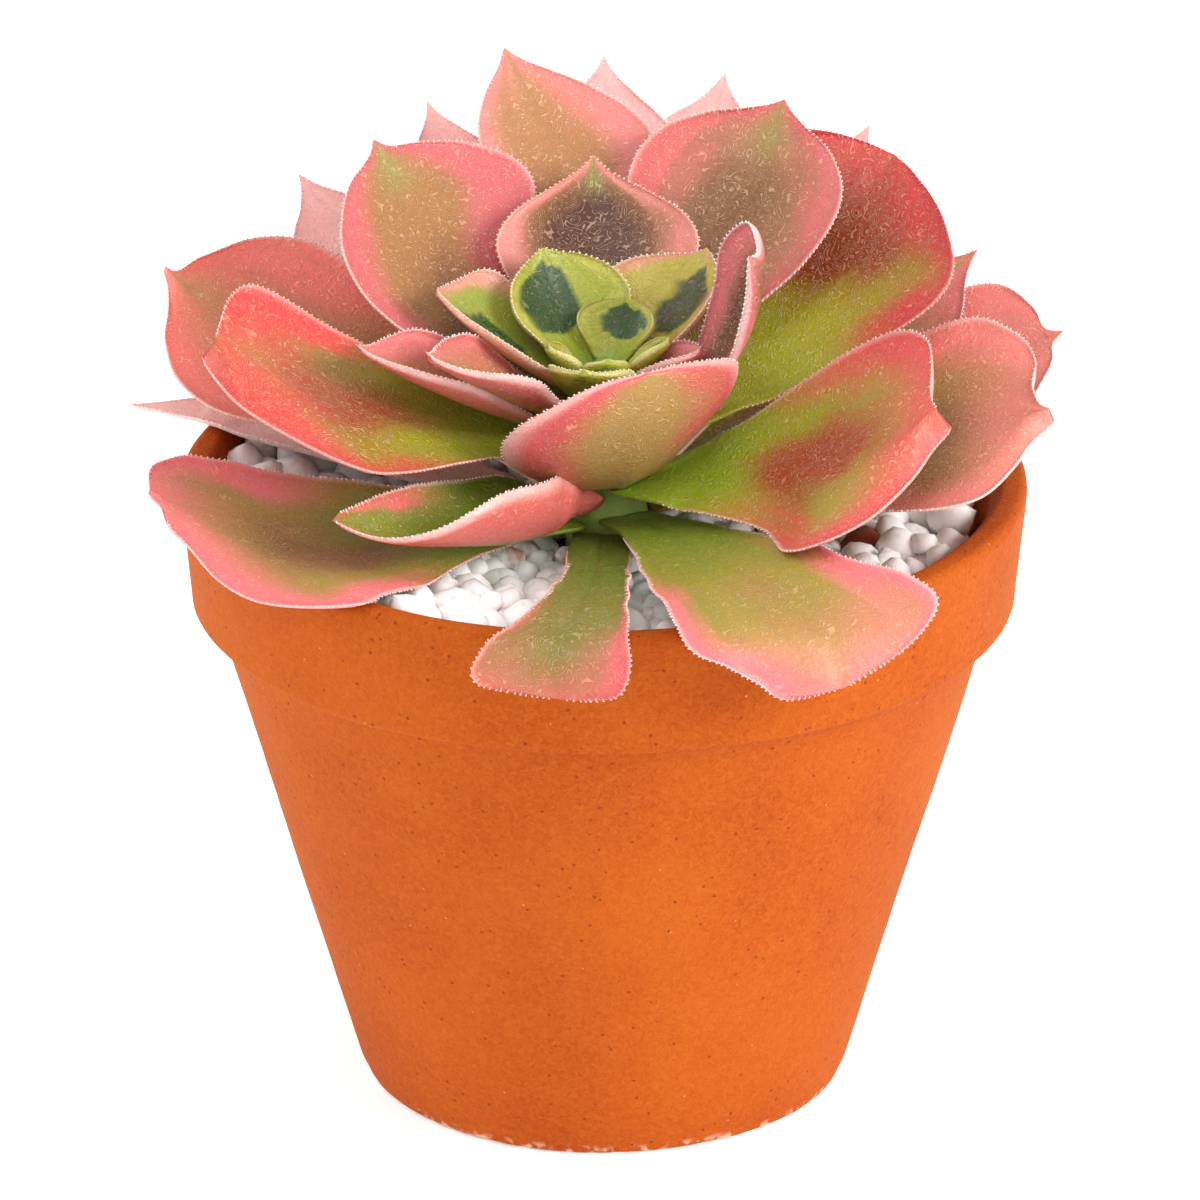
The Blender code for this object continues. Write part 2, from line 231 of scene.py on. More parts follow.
soil_foot = FLOOR_THICKNESS + SOIL_GAP
soil_outline = [(0, soil_foot)] + [(radius, soil_foot) for radius in (5, 10, 18, 27, INNER_FLOOR_RADIUS - 4)]
for height_now in (11, 25, 40, 55, 70, 85, 93, SOIL_TOP):
    soil_outline.append((pot_inner_radius(height_now) - SOIL_GAP - 0.4, height_now))
soil_outline += [(radius, SOIL_TOP) for radius in np.linspace(64, NECK_RADIUS + 0.6, 30)]
soil_outline += [(NECK_RADIUS + 0.6, NECK_FOOT), (0, NECK_FOOT)]
soil = turned_piece("potting_soil_fill", soil_outline, 96)
for vertex in soil.data.vertices:
    out = math.hypot(vertex.co.x, vertex.co.y)
    if vertex.co.z > (SOIL_TOP - 1) * MM and 9 * MM < out < 64 * MM:
        crumb = noise.noise(vertex.co / (4 * MM)) + 0.6 * noise.noise(vertex.co / (1.8 * MM))
        vertex.co.z += SOIL_CRUMB * MM * crumb
soil.data.shade_smooth()

# Peat: matt, almost black when moist, with brown bark crumbs of about two millimetres.
soil_peat, tree, shader = new_material("moist_peat_soil")
place = add_node(tree, "TexCoord").outputs["Object"]
crumbs = add_node(tree, "TexVoronoi", {"Vector": place, "Scale": 480})
crumb_hue = add_node(tree, "SeparateColor", {"Color": crumbs.outputs["Color"]}).outputs[0]
crumb_colour = add_node(tree, "Mix", {0: crumb_hue, 6: linear_colour("#1d140e"), 7: linear_colour("#4f3826")},
                        data_type="RGBA")
tree.links.new(crumb_colour.outputs[2], shader.inputs["Base Color"])
crumb_bump = add_node(tree, "Bump", {"Strength": 0.8, "Distance": 0.6 * MM,
                                     "Height": crumbs.outputs["Distance"]})
tree.links.new(crumb_bump.outputs[0], shader.inputs["Normal"])
shader.inputs["Roughness"].default_value = 0.95
finish_piece(soil, soil_peat, "soil", "potting_soil")

# ---------------------------------------------------------------------------
# Gravel: tumbled white marble chips of 5 to 9 mm, poured on the soil and levelled by hand.
# A few are stained pinkish brown, and one shard of broken pot lies among them.
# ---------------------------------------------------------------------------

STONE_COUNT = 800
STONE_RADII = (2.3, 4.6)
STONE_GAP = 0.3  # kept clear of the clay
STAINED_SHARE = 0.13
STONE_CUTS = 7
# The gravel lies higher towards the rim: at these radii, its top is at these heights.
GRAVEL_PROFILE = ((7, 16, 34, 50, 60, 68), (101.9, 102.9, 105.4, 108.8, 111.8, 113.2))
SETTLE_STEPS = 260
SHARD_PLACE = (43, -16, 108)

ledge_room = pot_inner_radius(SOIL_TOP + 2) - STONE_GAP
lip_room = INNER_LIP_RADIUS - STONE_GAP
draw = np.random.default_rng(11)
radii = STONE_RADII[0] + (STONE_RADII[1] - STONE_RADII[0]) * draw.random(STONE_COUNT) ** 1.3
angles = draw.random(STONE_COUNT) * math.tau
outs = np.sqrt(draw.random(STONE_COUNT) ** 0.82 * (65 ** 2 - 14 ** 2) + 14 ** 2)
centres = np.stack([outs * np.cos(angles), outs * np.sin(angles), 100 + 8 * draw.random(STONE_COUNT)], 1)
reach = 0.88 * (radii[:, None] + radii[None, :])
for step in range(SETTLE_STEPS):
    centres[:, 2] -= 0.12 * (1 - step / SETTLE_STEPS)
    apart = centres[:, None] - centres[None]
    distance = np.linalg.norm(apart, axis=2) + np.eye(STONE_COUNT) * 99
    push = np.clip(reach - distance, 0, None)[:, :, None] * apart / distance[:, :, None]
    centres += 0.35 * push.sum(1)
    out = np.linalg.norm(centres[:, :2], axis=1)
    ceiling = np.interp(out, *GRAVEL_PROFILE)
    centres[:, 2] = np.clip(centres[:, 2], SOIL_TOP + 0.55 * radii, ceiling - 0.80 * radii)
    wall = np.where(centres[:, 2] > LEDGE_HEIGHT - 0.5, lip_room, ledge_room)
    kept = np.clip(out, NECK_RADIUS + 1.5 + radii, wall - 0.98 * radii)
    centres[:, :2] *= (kept / out)[:, None]

# Stones are lowered clear of the leaves that lie over them.
leaf_points = []
leaf_faces = []
for name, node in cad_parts.items():
    if name.endswith("_leaf"):
        first = len(leaf_points)
        leaf_points += [vertex.co.copy() for vertex in node.data.vertices]
        leaf_faces += [[first + index for index in face.vertices] for face in node.data.polygons]
leaf_tree = BVHTree.FromPolygons(leaf_points, leaf_faces)


def depth_in_leaves(points):
    """How far (mm) the deepest of these points lies inside a leaf."""
    deepest = 0
    for point in points:
        near, normal, _, gap = leaf_tree.find_nearest(Vector(point * MM), 3 * MM)
        if near is not None and (Vector(point * MM) - near).dot(normal) < 0:
            deepest = max(deepest, gap / MM)
    return deepest


bpy.ops.object.select_all(action="DESELECT")
bpy.ops.mesh.primitive_ico_sphere_add(subdivisions=2, radius=1)
gravel = bpy.context.object
gravel.name = "white_gravel"
shard = np.argmin(np.linalg.norm(centres - SHARD_PLACE, axis=1))
ball = np.array([vertex.co for vertex in gravel.data.vertices])
ball_faces = np.array([face.vertices for face in gravel.data.polygons])
stone_points = []
stains = []
for number, (radius, centre) in enumerate(zip(radii, centres)):
    shape = ball * (1 + 0.07 * draw.standard_normal((len(ball), 1)))
    for _ in range(STONE_CUTS):  # broken faces, rounded by tumbling
        facing = draw.standard_normal(3)
        facing /= np.linalg.norm(facing)
        over = np.clip(shape @ facing - (0.70 + 0.22 * draw.random()), 0, None)
        shape = shape - 0.9 * over[:, None] * facing
    shape *= np.array([1.16, 1.0, 0.84])
    turn, _ = np.linalg.qr(draw.standard_normal((3, 3)))
    turn[:, 0] *= np.sign(np.linalg.det(turn))
    stone = centre + radius * 1.04 * shape @ turn.T
    stone[:, 2] -= depth_in_leaves(stone)
    room = np.where(stone[:, 2] > LEDGE_HEIGHT + 0.3, lip_room, ledge_room)
    stone[:, :2] *= np.minimum(1, room / np.hypot(stone[:, 0], stone[:, 1]))[:, None]
    stone_points.append(stone)
    stain = 0.35 + 0.65 * draw.random() if draw.random() < STAINED_SHARE else 0.0
    stains += [(stain, draw.random(), float(number == shard), 1)] * len(ball)
stone_points = np.concatenate(stone_points)
stone_faces = np.concatenate([ball_faces + at * len(ball) for at in range(STONE_COUNT)])
stone_mesh = bpy.data.meshes.new("white_gravel")
stone_mesh.from_pydata(stone_points * MM, [], stone_faces.tolist())
stone_mesh.color_attributes.new("stain", "FLOAT_COLOR", "POINT").data.foreach_set("color", np.ravel(stains))
gravel.data = stone_mesh
gravel.data.shade_smooth()

# Tumbled marble: near white and softly matt, with faint grey veins some five millimetres apart,
# iron stains on some stones, and a fine crushed grain. The shard of pot has the clay's red.
marble, tree, shader = new_material("tumbled_white_marble")
place = add_node(tree, "TexCoord").outputs["Object"]
stain_paint = add_node(tree, "Attribute", attribute_name="stain").outputs[0]
stain_parts = add_node(tree, "SeparateColor", {"Color": stain_paint})
vein_noise = add_node(tree, "TexNoise", {"Vector": place, "Scale": 190, "Detail": 4,
                                         "Distortion": 1.5}).outputs["Fac"]
shade_share = add_node(tree, "MapRange", {0: stain_parts.outputs[1], 3: 0.0, 4: 0.55})
stone_colour = add_node(tree, "Mix", {0: shade_share.outputs[0], 6: linear_colour("#fbfaf8"),
                                      7: linear_colour("#ebe8e4")}, data_type="RGBA")
vein_share = add_node(tree, "MapRange", {0: vein_noise, 1: 0.56, 2: 0.74, 3: 0.0, 4: 0.45})
vein_colour = add_node(tree, "Mix", {0: vein_share.outputs[0], 6: stone_colour.outputs[2],
                                     7: linear_colour("#b3a9a2")}, data_type="RGBA")
stain_noise = add_node(tree, "TexNoise", {"Vector": place, "Scale": 260, "Detail": 3}).outputs["Fac"]
stain_part = add_node(tree, "MapRange", {0: stain_noise, 1: 0.40, 2: 0.62})
stain_share = add_node(tree, "Math", {0: stain_part.outputs[0], 1: stain_parts.outputs[0]},
                       operation="MULTIPLY")
marble_colour = add_node(tree, "Mix", {0: stain_share.outputs[0], 6: vein_colour.outputs[2],
                                       7: linear_colour("#a9745c")}, data_type="RGBA")
shard_colour = add_node(tree, "Mix", {0: stain_parts.outputs[2], 6: marble_colour.outputs[2],
                                      7: linear_colour("#7c3216")}, data_type="RGBA")
tree.links.new(shard_colour.outputs[2], shader.inputs["Base Color"])
chip_noise = add_node(tree, "TexNoise", {"Vector": place, "Scale": 700, "Detail": 4}).outputs["Fac"]
marble_bump = add_node(tree, "Bump", {"Strength": 0.4, "Distance": 0.3 * MM, "Height": chip_noise})
tree.links.new(marble_bump.outputs[0], shader.inputs["Normal"])
shader.inputs["Roughness"].default_value = 0.6
finish_piece(gravel, marble, "gravel", "gravel_bed")

# ---------------------------------------------------------------------------
# Stem: a short fleshy stem, brown and ringed with leaf scars below, green at the crown.
# ---------------------------------------------------------------------------

CROWN_FOOT = 105
CROWN_TOP = 134
CROWN_FOOT_RADIUS = 8
CROWN_TOP_RADIUS = 2.5


def crown_radius(height):
    """Radius in mm of the cone on which the leaves are seated."""
    part = (height - CROWN_FOOT) / (CROWN_TOP - CROWN_FOOT)
    return CROWN_FOOT_RADIUS + (CROWN_TOP_RADIUS - CROWN_FOOT_RADIUS) * min(max(part, 0), 1)


stem_outline = [(0, NECK_FOOT + 0.4), (NECK_RADIUS - 0.6, NECK_FOOT + 0.4)]
for height_now in np.arange(85, 104, 0.8):
    stem_outline.append((NECK_RADIUS - 0.25 + 0.25 * math.sin(height_now * 2.6), height_now))
for height_now in np.arange(104.5, CROWN_TOP, 1.5):
    stem_outline.append((crown_radius(height_now), height_now))
stem_outline += [(0.6 * CROWN_TOP_RADIUS, CROWN_TOP + 0.6), (0, CROWN_TOP + 0.9)]
stem = turned_piece("succulent_stem", stem_outline, 48)
shake(stem.data, 3, 0.3, 5)
stem.data.shade_smooth()

# Stem skin: smooth and satin, green, turning to dry brown bark near the soil.
stem_skin, tree, shader = new_material("succulent_stem_skin")
place = add_node(tree, "TexCoord").outputs["Object"]
height = add_node(tree, "SeparateXYZ", {"Vector": place}).outputs["Z"]
skin_noise = add_node(tree, "TexNoise", {"Vector": place, "Scale": 420, "Detail": 3}).outputs["Fac"]
bark_share = add_node(tree, "MapRange", {0: height, 1: 100 * MM, 2: 106 * MM, 3: 1.0, 4: 0.0})
bark_colour = add_node(tree, "Mix", {0: skin_noise, 6: linear_colour("#6b5636"), 7: linear_colour("#9a8357")},
                       data_type="RGBA")
green_colour = add_node(tree, "Mix", {0: skin_noise, 6: linear_colour("#6f8428"),
                                      7: linear_colour("#93a448")}, data_type="RGBA")
skin_colour = add_node(tree, "Mix", {0: bark_share.outputs[0], 6: green_colour.outputs[2],
                                     7: bark_colour.outputs[2]}, data_type="RGBA")
tree.links.new(skin_colour.outputs[2], shader.inputs["Base Color"])
skin_bump = add_node(tree, "Bump", {"Strength": 0.5, "Distance": 0.3 * MM, "Height": skin_noise})
tree.links.new(skin_bump.outputs[0], shader.inputs["Normal"])
shader.inputs["Roughness"].default_value = 0.55
finish_piece(stem, stem_skin, "stem", "stem")

# ---------------------------------------------------------------------------
# Leaves: fleshy blades, each seated on the crown by a narrow green foot. Grown in strong light,
# they blush from the margins inwards. A pale rim carries a row of soft teeth, and most leaves
# end in a short point. Each is a closed surface laid round a curved midrib.
# ---------------------------------------------------------------------------

SEAT_THICKNESS = 2.0
TIP_THICKNESS = 1.2
MARGIN_THINNING = 0.45  # part of the thickness that a margin lacks
SEAT_GAP = 0.4
ROLL_REACH = 0.25  # the leaf turns onto its side over this first part of its length
RIM_ROLL = 0.6  # how far the rims roll up, mm
MARGIN_WAVE = 1.0  # height of the margins' waves, and their length, mm
MARGIN_WAVE_LENGTH = 16
RAGGED_LENGTH = 6  # length of the small notches along a margin, mm
RAGGEDNESS = 0.35  # their depth, mm, and that of the olive leaves, which are more worn
OLIVE_RAGGEDNESS = 0.9
GROOVE_DEPTH = 0.3  # along the middle of the upper side, mm
KEEL_DEPTH = 0.4  # under it, near the seat, mm
LIP_CLEARANCE = 1.2  # between a leaf and the lip that it rests on, mm
LIP_LIFT = 14  # the most that a leaf is lifted there, mm
LOW_SEAT = 6  # leaves seated below this can reach the lip, mm
TOOTH_PITCH = 1.05
TOOTH_SIZES = (0.4, 0.85)
TOOTH_FOOT = 0.2  # half the width of its foot
TOOTHLESS_LENGTH = 15  # shorter leaves have no teeth yet
MIDRIB_STEPS = 240
ROWS = 84
AROUND = 60
LEAF_DEPTH = 0.84  # the paint is darkened by this, since the studio light is strong
LEAF_CONTRAST = 1.22  # and made a little more saturated by this power

# heading: the way the leaf points seen from above, degrees from +X towards +Y
# seat: height of its seat above the foot of the crown, mm; length and width, mm
# rise: its climb at the seat, degrees; curl: the change of climb from seat to tip
# cup: half angle of the channel across it; right_cup: factor on the cup of its right-hand half
# roll: turn about its own length that lifts the left-hand half; sway: change of heading to the tip
# widest: where it is widest, as part of its length; lateness: how late along it the curl comes
Leaf = namedtuple(
    "Leaf",
    "name heading seat length width rise curl cup roll tint widest lateness sway right_cup",
    defaults=(0.66, 1.0, 0.0, 1.0),
)

LEAVES = (
    # Outer leaves, resting over the rim or hidden low at the back.
    Leaf("front_small", 263, 0, 81, 30, 12, -85, 8, 0, "olive", widest=0.92, lateness=9),
    Leaf("left_far", 160, 0, 80, 22, 11, -18, 10, 0, "pale", lateness=3),
    Leaf("back_low_right", 64, 0, 78, 36, 8, 6, 10, 0, "pale"),
    Leaf("back_low_left", 108, 2, 82, 36, 9, 6, 10, 0, "pale"),
    Leaf("right_far", 22, 2, 81, 42, 8, 6, 10, 8, "rose", widest=0.75),
    Leaf("front_left", 212, 2, 79, 46, 11, -4, 15, -14, "olive", widest=0.7),
    Leaf("front_right", 297, 3, 82, 46, 12, -75, 8, 4, "olive", widest=0.82, lateness=6),
    Leaf("back_left_low", 128, 4, 82, 38, 12, 6, 10, -5, "pale"),
    Leaf("back_right_low", 39, 5, 82, 40, 14, 6, 10, 5, "rose"),
    Leaf("left_curled", 226, 5, 57, 44, 8, 10, 138, -34, "rose", widest=0.5, right_cup=0.15),
    Leaf("right_low", 346, 7, 74, 44, 15, 2, 15, 14, "rose", widest=0.76),
    # Long leaves that stand up round the back.
    Leaf("back_left", 129, 6, 86, 42, 18, 8, 12, -5, "pale"),
    Leaf("back_right", 55, 7, 86, 42, 25, 6, 12, 0, "pale"),
    Leaf("back_mid_left", 115, 8, 81, 36, 29, 8, 12, 0, "pale"),
    Leaf("back_mid_right", 73, 10.5, 82, 38, 30, 8, 12, 0, "pale"),
    Leaf("back_mid", 90, 13, 78, 38, 34, 8, 12, 0, "pale"),
    # Broad leaves of the open ring.
    Leaf("right_front", 329, 9, 64, 46, 18, 8, 20, 26, "red", widest=0.74),
    Leaf("left_out", 160, 13, 78, 46, 12, 8, 20, -20, "rose", widest=0.74),
    Leaf("left_front", 201, 15.2, 72, 44, 20, 8, 25, -22, "red"),
    Leaf("right_broad", 40, 14.8, 72, 48, 27, 12, 20, 18, "red", widest=0.74),
    Leaf("top_left", 96, 16, 73, 31, 38, 12, 12, 0, "rose", widest=0.8, sway=14),
    Leaf("upper_right", 53, 18.5, 64, 42, 33, 18, 20, 8, "rose", widest=0.74),
    Leaf("upper_left", 139, 19.5, 60, 44, 33, 14, 20, -8, "rose", widest=0.74),
    # Smaller leaves round the heart.
    Leaf("front_cup", 283, 10.8, 38.5, 46, 2, 84, 30, 14, "rose", lateness=0.7),
    Leaf("left_fold_low", 208, 17.5, 50, 22, 24, 10, 50, -10, "rose"),
    Leaf("left_fold_high", 222, 20, 43, 21, 26, 10, 55, -10, "rose"),
    Leaf("right_fold", -9, 19.4, 47, 20, 3, 92, 55, 24, "rose", lateness=0.65),
    Leaf("centre_back", 93, 21.5, 46, 36, 38, 14, 25, 0, "rose", widest=0.72),
    Leaf("left_inner", 180.5, 24.4, 31, 25, 30, 14, 40, -4, "heart"),
    Leaf("right_inner", 51, 24.5, 28, 24, 38, 10, 35, 0, "heart"),
    Leaf("pink_inner", 340, 25.5, 17, 12, 22, 20, 50, 0, "rose"),
    # The heart: young green leaves folded round the growing point.
    Leaf("heart_front", 258, 23, 17, 17, 30, 24, 50, 0, "heart"),
    Leaf("heart_left", 124, 26.5, 24, 25.5, 36, 24, 35, 0, "heart"),
    Leaf("heart_middle", 70, 28.5, 12, 16, 38, 24, 45, 0, "heart"),
    Leaf("bud_left", 200, 27, 10, 9, 30, 30, 50, 0, "heart"),
    Leaf("bud_front", 275, 26, 8, 9, 40, 40, 50, 0, "heart"),
    Leaf("bud_right", 350, 28, 11, 7, 24, 30, 50, 0, "heart"),
)

# Outlines: (place along, part of the half width) down one edge from the seat to the tip.
# The left-hand edge comes first, as seen from the seat; a single list serves both edges. Leaves
# that are named nowhere here have the spoon outline.
SPOON = ((0, 0.30), (0.15, 0.34), (0.35, 0.56), (0.55, 0.88), (0.70, 1.0), (0.83, 0.92),
         (0.92, 0.62), (0.965, 0.33), (1.0, 0.12), (1.03, 0))
POINTED = ((0, 0.32), (0.2, 0.48), (0.4, 0.80), (0.52, 1.0), (0.63, 1.04), (0.75, 0.86),
           (0.85, 0.52), (0.92, 0.24), (0.97, 0.08), (1.01, 0))
EGG = ((0, 0.34), (0.2, 0.62), (0.4, 0.92), (0.58, 1.0), (0.76, 0.86), (0.89, 0.55), (0.96, 0.25), (1.02, 0))
OUTLINES = {
    "front_small": (((0, 0.45), (0.2, 0.5), (0.45, 0.65), (0.7, 0.82), (0.9, 0.93), (0.97, 1.0),
                     (1.02, 0.96), (1.04, 0.84), (1.05, 0.5), (1.05, 0.2)),
                    ((0, 0.3), (0.2, 0.22), (0.4, 0.12), (0.66, 0.1), (0.84, 0.27), (0.93, 0.62),
                     (0.99, 0.84), (1.02, 0.76), (1.04, 0.4), (1.05, -0.2))),
    "front_right": (((0, 0.22), (0.15, 0.25), (0.4, 0.3), (0.62, 0.4), (0.78, 0.58), (0.88, 0.84),
                     (0.94, 0.93), (0.99, 0.72), (1.04, 0.4), (1.07, 0.05)),
                    ((0, 0.22), (0.15, 0.3), (0.35, 0.55), (0.6, 0.85), (0.78, 1.0), (0.9, 1.08),
                     (0.97, 0.84), (1.02, 0.62), (1.07, 0.4), (1.07, -0.05))),
    "front_left": (((0, 0.3), (0.2, 0.42), (0.4, 0.72), (0.57, 1.02), (0.72, 1.3), (0.85, 1.36),
                    (0.97, 1.1), (1.0, 0.6), (0.995, 0.1), (1.0, -0.2), (0.98, -0.42), (0.995, -0.62)),
                   ((0, 0.3), (0.25, 0.36), (0.45, 0.48), (0.6, 0.6), (0.72, 0.76), (0.82, 0.9),
                    (0.9, 0.93), (0.96, 0.85), (0.995, 0.62))),
    "left_front": (((0, 0.3), (0.2, 0.5), (0.4, 0.85), (0.6, 1.15), (0.74, 1.25), (0.85, 1.0),
                    (0.94, 0.72), (0.99, 0.38), (1.02, 0.05)),
                   ((0, 0.3), (0.25, 0.32), (0.5, 0.42), (0.67, 0.54), (0.8, 0.66), (0.9, 0.68),
                    (0.96, 0.5), (1.0, 0.15), (1.02, -0.05))),
    "left_out": (((0, 0.25), (0.2, 0.4), (0.4, 0.8), (0.58, 1.12), (0.72, 1.28), (0.84, 1.06),
                  (0.93, 0.66), (0.975, 0.3), (1.01, 0.06), (1.04, -0.05)),
                 ((0, 0.25), (0.3, 0.42), (0.55, 0.7), (0.7, 0.82), (0.82, 0.8), (0.91, 0.62),
                  (0.975, 0.3), (1.01, 0.05), (1.04, 0.05))),
    "upper_left": (((0, 0.3), (0.12, 0.62), (0.26, 1.0), (0.4, 1.25), (0.55, 1.38), (0.68, 1.32),
                    (0.8, 1.08), (0.92, 0.66), (0.97, 0.36), (1.0, 0.2), (1.03, 0.12)),
                   ((0, 0.25), (0.3, 0.36), (0.55, 0.6), (0.66, 0.88), (0.74, 0.92), (0.82, 0.82),
                    (0.9, 0.6), (0.96, 0.28), (0.99, 0.0), (1.03, -0.12))),
    "top_left": (((0, 0.3), (0.3, 0.5), (0.6, 0.85), (0.76, 0.95), (0.85, 0.88), (0.93, 0.66),
                  (0.98, 0.48), (1.02, 0.38)),
                 ((0, 0.3), (0.3, 0.5), (0.55, 0.85), (0.72, 1.12), (0.8, 1.0), (0.89, 0.54),
                  (0.95, 0.08), (0.99, -0.22), (1.02, -0.38))),
    "right_broad": (((0, 0.25), (0.3, 0.45), (0.55, 0.8), (0.72, 0.95), (0.85, 0.85), (0.94, 0.5),
                     (0.98, 0.15), (0.99, -0.1)),
                    ((0, 0.35), (0.2, 0.7), (0.35, 0.98), (0.5, 1.2), (0.66, 1.38), (0.78, 1.3),
                     (0.9, 0.84), (0.97, 0.35), (0.99, 0.1))),
    "right_front": (((0, 0.25), (0.2, 0.3), (0.33, 0.42), (0.48, 0.66), (0.67, 0.91), (0.81, 0.96),
                     (0.92, 0.8), (0.965, 0.48), (0.985, 0.2), (1.02, 0.05)),
                    ((0, 0.4), (0.2, 0.55), (0.4, 0.7), (0.56, 0.86), (0.72, 1.3), (0.82, 1.32),
                     (0.92, 1.0), (0.97, 0.5), (0.985, 0.15), (1.02, -0.05))),
    "right_low": (((0, 0.25), (0.3, 0.55), (0.55, 1.0), (0.72, 1.22), (0.82, 1.24), (0.92, 1.02),
                   (0.97, 0.68), (0.975, 0.36), (1.0, 0.12), (1.03, 0.03)),
                  ((0, 0.25), (0.3, 0.5), (0.6, 0.98), (0.78, 1.26), (0.9, 1.15), (0.96, 0.6),
                   (0.985, 0.2), (1.03, -0.03))),
    "right_far": (((0, 0.25), (0.3, 0.5), (0.6, 0.9), (0.8, 1.16), (0.92, 1.24), (1.0, 1.12),
                   (1.03, 0.72), (1.02, 0.42), (1.05, 0.28)),
                  ((0, 0.25), (0.3, 0.45), (0.6, 0.75), (0.78, 0.75), (0.9, 0.4), (0.98, 0.05),
                   (1.01, -0.18), (1.05, -0.28))),
    "left_curled": (((0, 0.34), (0.15, 0.55), (0.3, 0.9), (0.5, 1.0), (0.7, 0.86), (0.85, 0.56),
                     (0.95, 0.3), (1.04, 0.08), (1.09, 0)),
                    ((0, 0.34), (0.2, 0.36), (0.4, 0.34), (0.6, 0.3), (0.8, 0.22), (0.95, 0.12), (1.09, 0))),
    "left_far": (((0, 0.4), (0.3, 0.7), (0.55, 1.0), (0.7, 0.9), (0.85, 0.5), (0.95, 0.2), (1.04, 0)),),
    "right_inner": (((0, 0.35), (0.25, 0.62), (0.5, 0.92), (0.68, 0.98), (0.82, 0.72), (0.92, 0.3),
                     (0.97, -0.05), (1.03, -0.3)),
                    ((0, 0.35), (0.3, 0.7), (0.5, 1.0), (0.7, 1.1), (0.85, 0.9), (0.94, 0.62), (1.03, 0.3))),
    "left_inner": (((0, 0.4), (0.3, 0.75), (0.55, 0.95), (0.75, 0.8), (0.9, 0.45), (1.04, 0.1)),
                   ((0, 0.35), (0.3, 0.7), (0.6, 1.05), (0.8, 1.0), (0.93, 0.5), (1.04, -0.1))),
    "right_fold": (((0, 0.3), (0.3, 0.55), (0.6, 0.9), (0.8, 1.0), (0.93, 0.8), (1.0, 0.4), (1.0, 0.1),
                    (0.96, -0.3), (0.94, -0.6), (0.96, -0.9)),
                   ((0, 0.3), (0.3, 0.5), (0.6, 0.8), (0.8, 0.9), (0.9, 0.95), (0.96, 0.9))),
    "front_cup": (((0, 0.30), (0.2, 0.6), (0.4, 0.9), (0.6, 1.06), (0.78, 1.02), (0.9, 0.78),
                   (0.97, 0.42), (0.99, 0.05)),
                  ((0, 0.30), (0.2, 0.6), (0.4, 0.92), (0.6, 1.04), (0.76, 0.94), (0.88, 0.66),
                   (0.96, 0.34), (0.99, -0.05))),
}
for name in ("centre_back", "back_mid", "back_mid_left", "back_mid_right", "back_left", "back_right",
             "back_left_low", "back_right_low", "back_low_left", "back_low_right", "left_fold_low",
             "left_fold_high"):
    OUTLINES[name] = (POINTED,)
for name in ("heart_left", "heart_front", "heart_middle", "bud_left", "bud_front", "bud_right",
             "pink_inner"):
    OUTLINES[name] = (EGG,)
# How far (mm) the left-hand and right-hand margins hang down near the end.
DROOPS = {"front_left": (1, 0), "left_curled": (0, -2), "left_front": (5, 0), "right_front": (0, 5),
          "right_low": (0, 3), "left_out": (2, 0), "front_right": (0, 2)}

# colours: of the foot at the seat, the body along the middle, the darker middle patch, the blushed
# margins, and the rolled rim with its teeth
# foot_reach: how far the foot's green runs up; patch_place, patch_share: where the patch is, how strong
# margin: how far in the blush comes; end: where along the leaf it closes in from both sides
# start: where along the leaf the blush of the margins begins; stripe: how strong the tip's green line is
Tint = namedtuple("Tint", "colours foot_reach patch_place patch_share margin end start stripe",
                  defaults=(0.15, 0.0))
TINTS = {
    # The pale tint is the back leaves' own pale pink, painted lighter still: part of its paleness is painted
    # backlight.
    "pale": Tint("#e6cc98 #fad0c6 #ecb8a4 #fcc0be #fdeae6", 0.25, 0.6, 0.4, 0.8, 0.8),
    "rose": Tint("#a8a43c #bd8654 #8d6a2c #e87b79 #f8cdc4", 0.40, 0.50, 0.8, 0.60, 0.86, 0.3, 0.7),
    "red": Tint("#a6b820 #aa8e2e #ac5a2c #e4504e #f8beb6", 0.55, 0.68, 0.9, 0.42, 0.84, 0.42, 0.2),
    "heart": Tint("#9fb83c #b4ba44 #34601a #ccc860 #ece4ac", 0.20, 0.62, 2.4, 0.36, 1.2),
}
